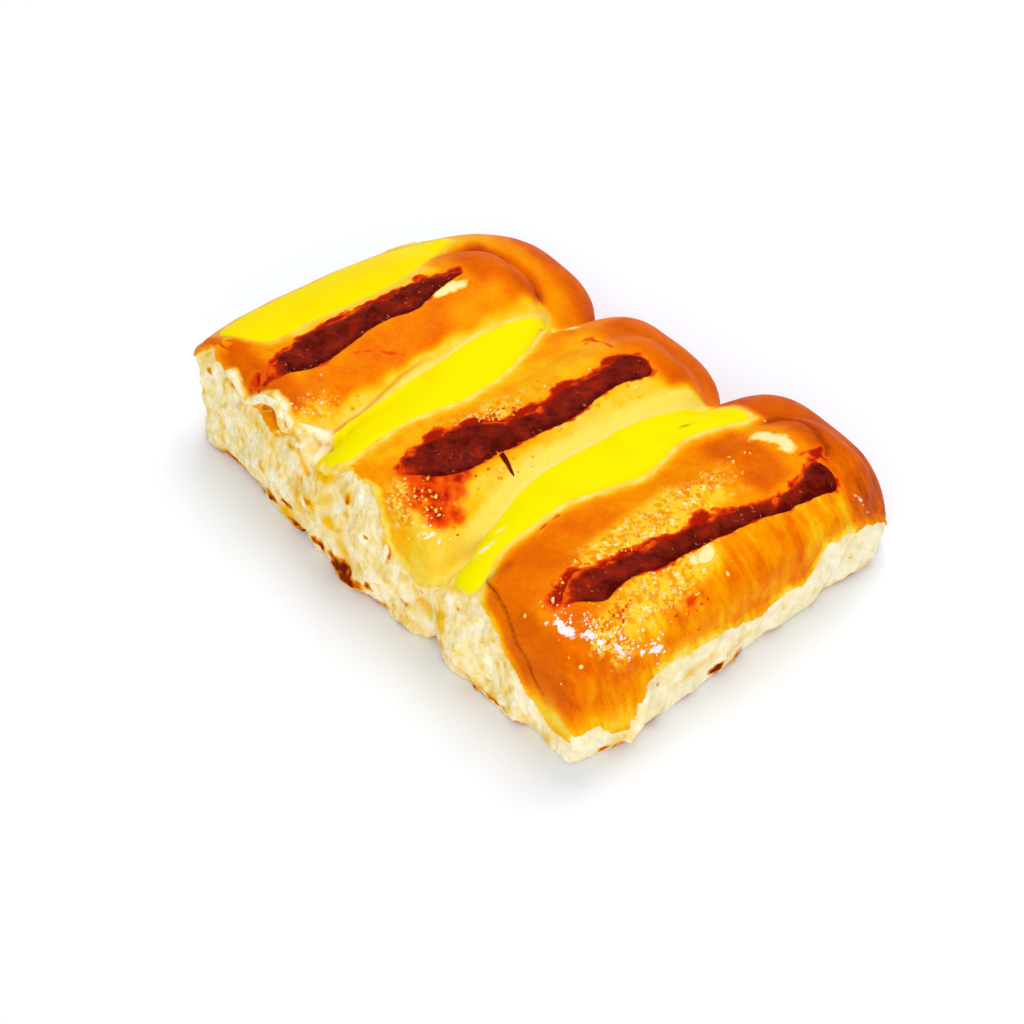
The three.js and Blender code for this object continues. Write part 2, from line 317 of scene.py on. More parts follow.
# Where the crust is coarse and crumbly, seen from above: x, y, half width, half length and how coarse.
GRAINY = (
    (86, 40, 8, 20, 0.9), (95, 9, 9, 7, 0.8), (150, 54, 8, 30, 1.0), (166, 42, 6, 18, 1.0),
    (46, 14, 7, 9, 0.35), (104, 38, 4, 14, 0.3), (168, 22, 8, 8, 0.6),
)
# Sugar glaze that baked on, with white painted highlights, in space, with its half width: two runs at the
# third roll's corner, partly painted highlight, a dab of painted highlight on the second roll and a painted
# highlight on the third roll's end.
SUGAR_AND_HIGHLIGHTS = (
    (((156.5, 9.6, 46.5), (161, 12, 45.6), (165.6, 16, 44), (169.5, 18.2, 41.4)), 2.7),
    (((171.5, 21, 39.5), (174.5, 26.4, 36.7), (176.4, 30.4, 33.5), (176.6, 34, 33.5)), 2.4),
    (((105, 4.8, 43), (109, 8, 42)), 2.0),
    (((175.2, 115.6, 37), (176.8, 117.4, 33), (177.6, 120, 27)), 1.1),
)


def spots(u, v, *marks):
    """The strongest at each point of some soft spots, each (u, v, half width, half height, strength)."""
    shares = [s * np.exp(-(((u - a) / w) ** 2) - ((v - b) / h) ** 2) for a, b, w, h, s in marks]
    return np.max(shares, axis=0)


places, facing = places_of(dough.data), facing_of(dough.data)
x, y, z = places.T
torn = crumb_side(places, facing)
crumb = ease(-0.4, 0.4, torn)
crust_share = 1 - crumb

# The crumb's lumps, pockets and fibres, the crust's edge over it, and the crust's own swells.
pulled = places * PULLED
pocket_depth, pocket_size, pocket_seed = CRUMB_POCKETS
pockets = pocket_depth * np.abs(rough(pulled, pocket_size, pocket_seed))
relief = crumb * (uneven(pulled, *CRUMB_LUMPS) - pockets + uneven(pulled, CRUMB_FIBRES))
relief += CRUST_EDGE * ease(-2.6, 0, torn) * crust_share - CRUMB_SET_BACK * crumb
relief += crust_share * uneven(places, *CRUST_SWELLS)

# The folds, the hairline split and the crease, which all fade out at their ends.
above = facing[:, 2] > 0.25
wandering = places[:, :2] + 0.6 * np.stack([rough(places, 6, 14), rough(places, 6, 15)], axis=1)
fold_marks = np.zeros(len(places))
for path, depth, width in FOLDS:
    gap, way = from_line(path, wandering)
    mark = above * ease(0, 0.12, way) * ease(1, 0.88, way) * soft(gap, width)
    relief -= depth * mark
    fold_marks = np.maximum(fold_marks, mark * min(depth, 1))
gap, way = from_line(HAIRLINE, places[:, :2])
hairline = above * soft(gap, HAIRLINE_WIDTH) * ease(1, 0.7, way)
relief -= HAIRLINE_DEPTH * hairline
on_end = (y < 16) & (facing[:, 1] < 0.1)
gap, way = from_line(CREASE, places[:, [0, 2]])
crease = on_end * soft(gap, CREASE_WIDTH) * ease(0, 0.08, way) * ease(1, 0.85, way)
relief -= CREASE_DEPTH * crease

# The torn skin along the end: curled up in ridges, and sunk between them, where it is browned and painted
# darker as shade.
curled = np.zeros(len(places))
for path, radius, height in CURLS:
    gap, way = from_line(path, places + 0.5 * rough(places, 2.5, 18)[:, None])
    ridge = soft(gap, radius)
    relief += height * ridge
    curled = np.maximum(curled, ridge)
bare_skin_and_shade = np.zeros(len(places))
for path in BARE_SKIN_AND_SHADE:
    mark = soft(from_line(path, places)[0], BARE_WIDTH)
    relief -= BARE_DEPTH * mark
    bare_skin_and_shade = np.maximum(bare_skin_and_shade, mark)

# The coarse crust, and the crust along the jam and below it. Jam ran over the far side of each slit only, so
# only the near side has a bank of crust.
to_jam = nearest(GUAVAS, places)
grainy = above * spots(x, y, *GRAINY) * ease(-1.2, 0.4, to_jam) * crust_share
relief += grainy * (0.3 + uneven(places, *COARSE_LUMPS))
FAR_AWAY = 9  # in mm, from a strip that is not the nearest
to_far_edge = np.min(
    [np.abs(along(o, 1, y) - x) + FAR_AWAY * (beyond(o, places) > FAR_AWAY) for o in GUAVAS], axis=0
)
far_side = ease(1.5, 0.2, to_far_edge - np.maximum(to_jam, 0))
relief += JAM_BANK * above * (1 - far_side) * ease(2.6, 0.6, to_jam) * ease(-0.8, 0.5, to_jam)
relief -= above * ease(0.6, -1.0, to_jam) * JAM_BED

# The sugar glaze, whose white flecks are partly painted highlight, is raised a little. Nothing moves at the
# very foot, where the dough stood on the tray.
sugar_and_highlight_share = np.max([soft(from_line(path, places)[0], width) for path, width in SUGAR_AND_HIGHLIGHTS], axis=0)
relief += SUGAR_HEIGHT * sugar_and_highlight_share * crust_share * (0.6 + rough(places, 1.6, 19))
places = places + facing * np.where(z > 0.4, relief, 0)[:, None]
places[:, 2] = np.maximum(places[:, 2], 0)
put_back(dough.data, places)
reshaped(dough, ("TRIANGULATE", {}))


BRIGHT = 0.95  # how much of a colour seen in full light is the surface's own


def srgb(red, green, blue):
    """A colour as it looks in full light, in bytes, as the linear values that materials take."""
    shares = [BRIGHT * value / 255 for value in (red, green, blue)]
    return (*[s / 12.92 if s <= 0.04045 else ((s + 0.055) / 1.055) ** 2.4 for s in shares], 1)


class Value:
    """A value that varies over a surface. Sums and products of it add the nodes that work them out."""

    def __init__(self, finish, socket):
        self.finish = finish
        self.socket = socket

    def math(self, operation, first, second):
        return self.finish.node("Math", {"operation": operation}, {0: first, 1: second})

    def __add__(self, other):
        return self.math("ADD", self, other)

    __radd__ = __add__

    def __sub__(self, other):
        return self.math("SUBTRACT", self, other)

    def __rsub__(self, other):
        return self.math("SUBTRACT", other, self)

    def __mul__(self, other):
        return self.math("MULTIPLY", self, other)

    __rmul__ = __mul__


class Finish:
    """A material, and the one way to add nodes to it."""

    def __init__(self, name, **shine):
        self.material = bpy.data.materials.new(name)
        self.material.use_nodes = True
        self.nodes = self.material.node_tree.nodes
        self.shader = self.nodes["Principled BSDF"]
        for key, value in shine.items():
            self.shader.inputs[key.replace("_", " ").title().replace("Ior", "IOR")].default_value = value

    def feed(self, socket, value):
        if isinstance(value, Value):
            self.material.node_tree.links.new(value.socket, socket)
        else:
            socket.default_value = value

    def node(self, kind, settings=None, sockets=None, output=0):
        made = self.nodes.new("ShaderNode" + kind)
        for key, value in (settings or {}).items():
            setattr(made, key, value)
        for key, value in (sockets or {}).items():
            self.feed(made.inputs[key], value)
        return Value(self, made.outputs[output])

    def shades(self, **inputs):
        for key, value in inputs.items():
            self.feed(self.shader.inputs[key.replace("_", " ").title()], value)

    def painted(self, name):
        """A value that was worked out for each point of the mesh."""
        return self.node("Attribute", {"attribute_name": name}, output="Fac")

    def grain(self, size, detail=2, roughness=0.5, stretch=(1, 1, 1)):
        """Noise from 0 to 1, of that size in mm."""
        place = self.node("TexCoord", output="Object")
        place = self.node("Mapping", {}, {"Vector": place, "Scale": stretch})
        sockets = {"Vector": place, "Scale": 1 / (size * MM), "Detail": detail, "Roughness": roughness}
        return self.node("TexNoise", {}, sockets)

    def dots(self, spacing, radius):
        """Soft dots, 1 in their middle and 0 around them, scattered about spacing apart, both in mm."""
        place = self.node("TexCoord", output="Object")
        gap = self.node("TexVoronoi", {}, {"Vector": place, "Scale": 1 / (spacing * MM)})
        return self.stepped(gap, radius / spacing, 0.5 * radius / spacing)

    def stepped(self, value, low, high):
        """A smooth step of a value from 0 at low to 1 at high."""
        sockets = {"Value": value, "From Min": low, "From Max": high}
        return self.node("MapRange", {"interpolation_type": "SMOOTHSTEP"}, sockets)

    def mixed(self, share, first, second):
        return self.node("Mix", {"data_type": "RGBA"}, {0: share, 6: first, 7: second}, output=2)

    def ramp(self, value, *stops):
        """A colour that runs through (value, colour) stops."""
        (low, colour), *rest = stops
        for high, following in rest:
            step = self.node("MapRange", {}, {"Value": value, "From Min": low, "From Max": high})
            colour = self.mixed(step, colour, following)
            low = high
        return colour

    def bumped(self, height, depth, strength=1.0):
        return self.node("Bump", {}, {"Height": height, "Distance": depth * MM, "Strength": strength})


def paint(piece, name, values):
    """Keeps a value for each point of a piece, for its finish to read."""
    layer = piece.data.attributes.new(name, "FLOAT", "POINT")
    layer.data.foreach_set("value", np.asarray(values, dtype=np.float32))


# How brown the crust baked, 0 pale to 1 brown, one coat over another, seen from above. Each coat fills a soft
# oblong: x from and to, y from and to, how soft its border is, and its brownness.
BASE_BROWN = 0.55
BROWNED = (
    (-8, 20, 88, 104, 5, 0.3), (15, 26, 24, 78, 2, 0.2), (36, 52, 9, 92, 4, 0.72), (50, 57, 0, 102, 2, 0.15),
    (-10, 46, -6, 12, 3, 0.9), (46, 60, -6, 16, 3, 0.2), (15, 50, 84, 105, 3, 0.9),
    (15, 56, 107, 114, 3, 0.6), (-10, 62, 113, 132, 4, 0.92), (71, 80, 6, 100, 4, 0.4),
    (78, 92, 52, 96, 5, 0.38), (72, 112, 100, 130, 4, 0.85), (101, 112, 12, 98, 3, 0.2),
    (76, 108, -6, 15, 4, 0.52), (104, 113, -6, 14, 3, 0.15), (127, 150, 3, 56, 3, 0.72),
    (130, 148, 6, 28, 6, 0.8), (129, 153, 60, 90, 5, 0.58), (134, 161, 88, 103, 3, 0.88),
    (141, 157, 34, 82, 4, 0.25), (160, 174, 27, 66, 4, 0.3), (156, 185, -8, 22, 4, 0.8),
    (146, 166, -6, 8, 4, 0.84), (170, 186, 8, 26, 4, 0.66), (171, 180, 38, 93, 3, 0.64),
    (170, 186, 94, 118, 4, 0.5), (134, 150, 72, 90, 3, 0.6), (42, 52, 66, 90, 4, 0.5),
    (100, 122, -6, 8, 3, 0.1), (92, 104, -8, 3, 3, 0.3), (116, 184, 113, 145, 3, 0.98),
)
PALE_CORNER = ((160, 1, 17), (168, 1, 17), (176, 5, 17), (178, 16, 14), (178.5, 21, 13))
CORNER_WIDTH, CORNER_BROWN = 7, 0.22
END_BROWN, FOLD_SHADE = 0.12, 0.35  # how much browner the crusted end is by the tray, and how much darker the folds are painted, as shade in them
BROWN_CLOUDS = ((0.12, 11, 8), (0.06, 3.5, 9))
TEAR_PALE, NEAR_TEAR_PALE = 0.4, 0.2  # how much paler the skin is above a tear, and further up the near side
RIM_BROWN, BORDER_BROWN = 0.15, 0.0  # beside the custard, and in the wide border of the third band
BORDER_FROM, BORDER_TO = 98, 119  # where that border lies, along x
# Spots on the dough, each (across, up or along, half width, half height, strength): jam smeared on the crust,
# seen from above, then custard and burnt dough on the torn end and on the near torn side.
SMEARS = (
    (97, 15, 9, 5.5, 0.95), (101, 21, 4.5, 5, 0.8), (87, 15.5, 6, 4, 1.0), (93, 19, 5, 4, 1.3),
    (97.5, 25, 3.5, 6, 1.2), (100, 17, 5, 4, 1.2), (95, 13, 5, 4, 1.1), (103, 12, 4.5, 5, 1.2),
    (106, 17, 3, 4, 0.9), (98, 8, 4, 3, 0.7), (151, 17, 3.5, 4.5, 1.2), (27, 5, 3, 3.5, 0.9),
    (85, 48, 1.6, 1.4, 0.8), (86.5, 56, 1.2, 1.2, 0.7), (165, 28, 3.5, 1.2, 0.7), (174.6, 50, 1.6, 3.0, 0.8),
    (76, 96, 1.2, 4, 0.6),
)
YOLK_END = (
    (61, 24, 3, 5, 1.1), (70, 22, 3, 5, 1.0), (76, 13, 3, 4, 0.9), (84, 14, 3, 3, 0.8), (118, 20, 4, 4, 1.1),
    (54, 22, 3.5, 14, 0.8), (63, 38, 7, 3, 1.2), (68, 30, 3, 4, 0.7), (76, 39, 2.4, 3.5, 0.9),
    (121, 39, 7, 4, 1.2), (121, 24, 4, 3, 0.9), (94, 32, 1.6, 6, 0.8), (110, 16, 3, 3, 0.9),
    (105, 5, 4, 3, 0.7), (120, 8, 5, 4, 0.7), (130, 4, 4, 4, 0.6), (45, 5, 5, 4, 0.9), (30, 33, 12, 4, 0.35),
    (76, 16, 4, 3, 0.6), (80, 24, 4, 3, 0.5),
)
YOLK_NEAR = ((17, 4, 5, 3, 0.5), (48, 12, 9, 2.5, 0.6), (66, 9, 6, 2, 0.5))
BURN_END = (
    (60, 25, 2.0, 2, 0.75), (76, 6, 8, 3.6, 1.4), (63, 6.5, 3, 2.2, 1.2), (46, 9, 3, 1.4, 1.0),
    (36, 4, 4, 2, 0.9), (15, 2, 6, 1.4, 0.9), (49, 3, 4, 1.6, 0.8), (94, 28, 1.2, 4.5, 0.8),
    (76, 37, 1.2, 2.2, 0.8), (102, 12, 3, 1.6, 0.5), (142, 3, 9, 1.2, 0.5), (88, 9, 2, 2, 0.7),
    (6, 36, 2, 1.5, 0.6), (20, 20, 1.6, 1.6, 0.4), (125, 30, 1.2, 1.2, 0.5),
)
BURN_NEAR = ((57, 5, 3, 2, 1.3), (61, 10, 1.0, 2, 0.8), (13, 3, 2, 1.5, 0.8))

# The coats and smears have wavy borders.
warped_x = x + 2.2 * rough(places, 9, 21)
warped_y = y + 2.2 * rough(places, 9, 22)
brown = np.full(len(places), BASE_BROWN)
for x_from, x_to, y_from, y_to, border, value in BROWNED:
    share = ease(x_from - border, x_from + border, warped_x) * ease(x_to + border, x_to - border, warped_x)
    share *= ease(y_from - border, y_from + border, warped_y) * ease(y_to + border, y_to - border, warped_y)
    brown += share * (value - brown)
# The crusted end is darker near the tray, and the folds are painted darker than the rest, as shade in them.
brown += END_BROWN * ease(95, 120, y) * ease(30, 12, z)
brown += uneven(places, *BROWN_CLOUDS)
brown += FOLD_SHADE * fold_marks
# The skin is paler along the last few millimetres above a tear, and pale at the third roll's lowest corner.
brown -= TEAR_PALE * ease(-4.5, -0.5, torn) * ((x < TORN_NEAR) | (y > 30)) * crust_share
middle = (x > TORN_NEAR) * ease(28, 34, y) * ease(62, 50, y)
brown -= NEAR_TEAR_PALE * ease(-8, -3, torn) * middle * crust_share
corner = soft(from_line(PALE_CORNER, places)[0], CORNER_WIDTH)
brown += corner * (CORNER_BROWN - brown)
# It is pale beside the custard too: less so beside the first band, and furthest out beside the third band on
# the second roll. A thin cream rim follows the custard's edge.
rim_gap = nearest(CUSTARDS, places) + 0.5 * rough(places, 5, 11) + 0.3 * rough(places, 2, 10)
rim_strength = np.where(x < 30, 0.4, 1.0)
brown += above * rim_strength * 0.7 * ease(4.0, 0.5, rim_gap) * (RIM_BROWN - brown)
in_border = (x > BORDER_FROM) * (x < BORDER_TO)
brown += above * in_border * ease(8, 3.5, rim_gap) * (BORDER_BROWN - brown)
rim = above * rim_strength * ease(1.5, 0.6, rim_gap) * (0.7 + 0.7 * rough(places, 4, 28))

# Jam seeped over the far side of each slit, further in some places than in others.
seeped = far_side * (0.9 + 2.6 * ease(-0.1, 0.4, rough(places, 9, 31)))
ragged = uneven(places, (1.3, 2.6, 23), (0.8, 1.1, 24), (1.3, 5, 29))
fringe = ease(1.9, -0.3, to_jam - seeped + ragged + 1.0)
streaks = np.max([s * soft(from_line(path, wandering)[0], width) for path, width, s in STREAKS], axis=0)
streaks = streaks * (0.85 + 0.9 * rough(places, 2.4, 35))
smears = spots(warped_x, warped_y, *SMEARS) * (0.85 + 0.5 * rough(places, 1.8, 25))
jam = above * np.maximum(np.maximum(fringe, streaks), smears)
cream = np.zeros(len(places))
for path, width, strength in LIPS:
    gap, way = from_line(path, wandering)
    gap = np.maximum(gap + 0.9 * rough(places, 2.8, 33) + 0.5 * rough(places, 1.2, 34), 0)
    cream = np.maximum(cream, strength * soft(gap, width) * ease(0, 0.3, way) * ease(1, 0.7, way))
on_near = x > TORN_NEAR
yolk = np.maximum(on_end * spots(x, z, *YOLK_END), on_near * spots(y, z, *YOLK_NEAR))
burn = np.maximum(on_end * spots(x, z, *BURN_END), on_near * spots(y, z, *BURN_NEAR))
patches = ease(-0.12, 0.25, rough(places, 8, 13))

for name, values in {
    "crumb": np.maximum(crumb, curled * (x < 100)),
    "brown": np.clip(brown, 0, 1.2),
    "rim": np.clip(rim, 0, 1),
    "jam": np.clip(jam, 0, 1),
    "cream": np.clip(above * cream, 0, 1),
    "coarse": np.clip(grainy, 0, 1),
    # The sugar glaze, and white painted highlights.
    "sugar_and_highlight": np.clip(sugar_and_highlight_share * crust_share, 0, 1),
    "yolk": np.clip(yolk * (1.1 + 1.1 * rough(places, 4, 26)), 0, 1) * (1 - curled),
    "burn": np.clip(burn * (1 + 0.9 * rough(places, 2.2, 27)), 0, 1) * (1 - curled),
    "foot": ease(3.4, 0.4, z + 2.6 * rough(places, 5, 12)) * crumb * patches,
    "crease": np.clip(crease, 0, 1),
    "hairline": np.clip(hairline, 0, 1),
    "skin_and_painted_light": np.clip(bare_skin_and_shade * (1.1 + 0.6 * rough(places, 2, 30)) * (1 - 0.7 * curled), 0, 1),
    "milky": ease(160, 172, x) * crumb,
    "striped": ease(160, 170, x) * crust_share,
}.items():
    paint(dough, name, values)

# Colours: of the crust by how brown it baked, of the marks on it, of the crumb and of the marks on that.
CRUST_SHADES = (
    (0.0, srgb(255, 228, 92)), (0.25, srgb(255, 198, 20)), (0.5, srgb(254, 154, 0)),
    (0.75, srgb(243, 116, 0)), (1.0, srgb(216, 86, 0)), (1.25, srgb(170, 56, 0)),
)
TOASTED, GOLD_CRUMB, PALE_CRUMB = srgb(244, 128, 4), srgb(255, 208, 50), srgb(255, 240, 170)
CREAM_RIM = srgb(255, 230, 116)
LIP_EDGE, LIP_MIDDLE = srgb(255, 204, 76), srgb(255, 238, 168)
JAM_STAIN_SHADES = (
    (0.3, srgb(250, 128, 6)), (0.6, srgb(240, 84, 4)), (0.85, srgb(226, 54, 2)), (1.0, srgb(170, 28, 4)),
)
# White for the sugar glaze and for painted highlights on the crust.
SUGAR_AND_HIGHLIGHT_WHITE = srgb(250, 246, 240)
# The crumb's colours by its fibres: the darker low ones are painted shade in the hollows, where the bump is
# low too.
CRUMB_SHADES = (
    (0.3, srgb(236, 176, 60)), (0.38, srgb(250, 214, 112)), (0.46, srgb(256, 234, 164)),
    (0.54, srgb(257, 243, 198)), (0.66, srgb(264, 256, 228)),
)
BUTTERY, MILKY = srgb(250, 212, 90), srgb(256, 250, 222)
# The second is painted shade in small air holes.
YOLK, AIR_HOLE_SHADE = srgb(252, 196, 16), srgb(222, 150, 26)
TORN_EDGE = srgb(255, 206, 84)
SCORCHED_SHADES = (
    (0.34, srgb(250, 196, 50)), (0.46, srgb(232, 140, 12)), (0.58, srgb(180, 76, 4)), (0.72, srgb(96, 22, 4)),
)
BURNT_SHADES = (
    (0.3, srgb(246, 176, 24)), (0.6, srgb(222, 118, 6)), (0.85, srgb(160, 58, 2)), (1.1, srgb(98, 18, 4)),
)
# Browned skin, and painted shade, in the hollows between the curls.
SHADED_SKIN_EDGE, SHADED_SKIN_MIDDLE = srgb(250, 196, 60), srgb(230, 126, 8)
# The first is painted shade along the crease on the torn end.
CREASE_SHADE, HAIRLINE_BROWN = srgb(150, 60, 2), srgb(228, 140, 4)

# The crust: its browning in soft clouds and fine grain, striped on the near side, where the skin stretched.
crust = Finish("glazed_crust", specular_ior_level=0.012)
tone = crust.painted("brown") + 0.22 * crust.grain(7, 3) + 0.26 * crust.grain(1.5, 3, 0.6) - 0.24
tone = tone + 0.9 * crust.painted("striped") * (crust.grain(3.2, 3, 0.55, (0.3, 1, 0.3)) - 0.5)
golden = crust.ramp(tone, *CRUST_SHADES)
coarse = crust.stepped(crust.painted("coarse") + 0.6 * crust.grain(6, 3) - 0.3, 0.15, 0.55)
fleck = crust.grain(2.5, 3, 0.6)
golden = crust.mixed(0.6 * coarse * crust.stepped(fleck, 0.5, 0.4), golden, TOASTED)
golden = crust.mixed(coarse * crust.stepped(fleck, 0.47, 0.56), golden, GOLD_CRUMB)
golden = crust.mixed(coarse * crust.stepped(crust.grain(2.1, 3, 0.6), 0.57, 0.66), golden, PALE_CRUMB)
golden = crust.mixed(crust.painted("rim"), golden, CREAM_RIM)
lip = crust.painted("cream") + 0.9 * crust.grain(2.4, 3, 0.6) - 0.45
golden = crust.mixed(crust.stepped(lip, 0.2, 0.5), golden, LIP_EDGE)
golden = crust.mixed(crust.stepped(lip, 0.5, 0.85), golden, LIP_MIDDLE)
stained = crust.ramp(crust.painted("jam"), *JAM_STAIN_SHADES)
golden = crust.mixed(crust.stepped(crust.painted("jam"), 0.12, 0.5), golden, stained)
# White flecks where the sugar glaze lies: sugar, and painted highlights.
sugar_and_highlight_flecks = 0.75 * crust.painted("sugar_and_highlight") + 1.9 * crust.grain(2.5, 3, 0.6, (1.1, 0.7, 1)) - 0.95
golden = crust.mixed(crust.stepped(sugar_and_highlight_flecks, 0.6, 0.8), golden, SUGAR_AND_HIGHLIGHT_WHITE)

# The crumb: pale fibres, painted darker where they are low as shade in the hollows between them, buttery
# blotches, custard that ran in, small air holes painted as darker dots of shade, and a scorched foot.
fibre = crust.grain(4.2, 6, 0.64, (1, 0.7, 0.6))
pale = crust.ramp(fibre, *CRUMB_SHADES)
pale = crust.mixed(0.55 * crust.stepped(crust.grain(7, 4, 0.6), 0.5, 0.68), pale, BUTTERY)
pale = crust.mixed(0.5 * crust.painted("milky"), pale, MILKY)
pale = crust.mixed(crust.painted("yolk"), pale, YOLK)
pale = crust.mixed(crust.dots(9, 1.3) * crust.stepped(crust.grain(4, 3), 0.45, 0.6), pale, AIR_HOLE_SHADE)
tear = crust.painted("crumb")
colour = crust.mixed(crust.stepped(tear, 0.05, 0.45), golden, TORN_EDGE)
colour = crust.mixed(crust.stepped(tear, 0.4, 0.85), colour, pale)
scorched = crust.ramp(crust.grain(3.6, 4, 0.6), *SCORCHED_SHADES)
colour = crust.mixed(crust.painted("foot"), colour, scorched)
burnt = crust.ramp(crust.painted("burn") + 0.4 * crust.grain(2.4, 3) - 0.2, *BURNT_SHADES)
colour = crust.mixed(crust.stepped(crust.painted("burn"), 0.15, 0.5), colour, burnt)
# Orange between the curls: browned skin, and painted shade in the hollows and holes.
colour = crust.mixed(crust.stepped(crust.painted("skin_and_painted_light"), 0.1, 0.5), colour, SHADED_SKIN_EDGE)
colour = crust.mixed(crust.stepped(crust.painted("skin_and_painted_light"), 0.4, 0.9), colour, SHADED_SKIN_MIDDLE)
# Dark colour along the crease: painted shade.
colour = crust.mixed(0.85 * crust.painted("crease"), colour, CREASE_SHADE)
colour = crust.mixed(0.75 * crust.painted("hairline"), colour, HAIRLINE_BROWN)
crumb_height = fibre + 0.5 * crust.grain(0.9, 3)
crust_height = 0.1 * crust.grain(1.1, 3) + 1.4 * coarse * fleck
height = tear * crumb_height + (1 - tear) * crust_height
crust.shades(base_color=colour, roughness=0.42 + 0.45 * tear, normal=crust.bumped(height, 0.7, 0.55))
dough.data.materials.clear()
dough.data.materials.append(crust.material)
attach(dough, "root")
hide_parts("bread")


# ---- the custard bands ----
# Thick egg custard piped into the joins before baking. It set smooth and opaque, level with the dough beside
# it, and ran over a little where the rolls were torn.
CUSTARD_RISE, CUSTARD_SINK, CUSTARD_LIFT = 0.35, 10, 0.5
CUSTARD_WANDER = (0.3, 0.3)
CUSTARD_SHADES = ((0.0, srgb(255, 240, 0)), (0.6, srgb(255, 238, 4)), (1.0, srgb(255, 230, 60)))
# The pale one of these is a painted highlight.
WARM_CUSTARD, CUSTARD_HIGHLIGHT, CUSTARD_MARK = srgb(262, 226, 0), srgb(255, 252, 214), srgb(214, 120, 4)
# Seen from above, as the spots on the dough: strokes of painted highlight on the third band, and brown marks.
HIGHLIGHT_STROKES = ((121.5, 15, 0.6, 2.6, 1.2), (119.8, 9, 0.5, 1.8, 1.0), (119, 23, 0.4, 1.6, 0.8))
BROWN_MARKS = ((124.4, 93, 0.35, 2.4, 1.0), (62, 90, 0.3, 1.0, 0.5))

ABOVE_ALL = 80  # higher than the rolls, in mm
LEVEL_FROM = 8  # how far in from the torn end the tops of the rolls are level
END_ROUND = 3  # how far from its ends a filling narrows
EDGE_ROUND = 0.35  # how far a filling's edge lies below the dough beside it
FULL_DEPTH = 14  # how far from its start by the torn end a filling is as deep as it gets
surface = BVHTree.FromPolygons(
    [vertex.co for vertex in dough.data.vertices], [tuple(face.vertices) for face in dough.data.polygons]
)


def resting(x, y):
    """The height of the dough under a place seen from above, in mm, and 0 beside it."""
    start = Vector((x + ROW[0], y + ROW[1], ABOVE_ALL)) * MM
    found = surface.ray_cast(start, Vector((0, 0, -1)))[0]
    return found.z / MM if found else 0


def poured(name, outline, steps, rise, sink, lift, wander, seed):
    """A closed body that fills an outline on the dough. It stands rise above the dough, and lift more in its
    middle, and goes down by sink. wander is how far its far edge and its near edge stray. Its points run
    along it, and across it from the far edge over the top to the near edge and back below."""
    along_steps, across_steps = steps
    shape = bmesh.new()
    bmesh.ops.create_grid(shape, x_segments=along_steps, y_segments=2 * across_steps, size=0.5)
    u = np.array([vertex.co.x + 0.5 for vertex in shape.verts])
    v = np.array([vertex.co.y + 0.5 for vertex in shape.verts])
    first, last = outline[0][0], outline[-1][0]
    y = first + (last - first) * (1 - np.cos(np.pi * u)) / 2
    slanted = np.stack([0.37 * y, y, 0.61 * y], axis=1)  # a line through the noise
    strays = [uneven(slanted, (1, 8, seed + i), (0.8, 3.3, seed + 2 + i), (0.35, 1.3, seed + 4 + i))
              for i in (0, 1)]
    far = along(outline, 1, y) + wander[0] * strays[0]
    near = along(outline, 2, y) + wander[1] * strays[1]
    inset = np.clip(np.minimum(y - first, last - y) / END_ROUND, 0, 1)
    share = np.sqrt(1 - (1 - inset) ** 2)
    middle, half = (far + near) / 2, share * (near - far) / 2
    side = np.sin(np.where(v <= 0.5, 4 * v - 1, 3 - 4 * v) * np.pi / 2)  # from -1, far, to 1, near
    x = middle + half * side

    # A top edge that hangs over a steep flank keeps near the height of the dough 3 mm further in.
    inward = x - 3 * side * (np.abs(side) > 0.8)
    level_y = np.maximum(y, LEVEL_FROM)
    top = np.array([max(resting(a, b), resting(c, b) - 2.5) for a, b, c in zip(x, level_y, inward)])
    top -= 0.06 * (level_y - y) ** 2
    rounded = np.abs(side) ** 12
    upper = top + share * (lift * (1 - side**2) + rise) - (rise + EDGE_ROUND) * rounded - 0.3 * (1 - share)
    deep = sink * ease(0, FULL_DEPTH + 2, y - first + 2)
    lower = upper - share * deep * np.sqrt(np.clip(1 - side**2, 0, 1))
    z = np.where(v <= 0.5, upper, lower)
    for vertex, a, b, c in zip(shape.verts, x, y, z):
        vertex.co = (Vector((a, b, c)) + Vector(ROW)) * MM
    bmesh.ops.remove_doubles(shape, verts=shape.verts, dist=0.01 * MM)
    bmesh.ops.recalc_face_normals(shape, faces=shape.faces)
    return finished(shape, name)


custard = Finish("baked_custard", roughness=0.4, specular_ior_level=0.01)
custard_tone = custard.ramp(custard.painted("edge"), *CUSTARD_SHADES)
custard_tone = custard.mixed(custard.painted("warm"), custard_tone, WARM_CUSTARD)
# Pale strokes on the third band: painted highlights.
custard_tone = custard.mixed(custard.painted("skin_and_painted_light"), custard_tone, CUSTARD_HIGHLIGHT)
custard_tone = custard.mixed(custard.painted("mark"), custard_tone, CUSTARD_MARK)
custard.shades(base_color=custard_tone, normal=custard.bumped(custard.grain(4, 2), 0.2, 0.25))
for i, outline in enumerate(CUSTARDS, start=1):
    band = poured(f"custard_band_{i}", outline, (180, 26), CUSTARD_RISE, CUSTARD_SINK, CUSTARD_LIFT,
                  CUSTARD_WANDER, 40 + i)
    places = places_of(band.data)
    x, y = places.T[:2]
    paint(band, "edge", ease(-1.6, -0.1, beyond(outline, places)))
    paint(band, "warm", ease(0.1, 0.5, rough(places, 12, 45)) * 0.5 + (0.5 if i == 1 else 0))
    highlight_strokes = spots(x, y, *HIGHLIGHT_STROKES) * (0.9 + 1.2 * rough(places, 1.5, 46))
    paint(band, "skin_and_painted_light", np.clip(highlight_strokes, 0, 1))
    paint(band, "mark", np.clip(spots(x, y, *BROWN_MARKS), 0, 1))
    band.data.materials.append(custard.material)
    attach(band, "root")
    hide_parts(f"custard_{i}")


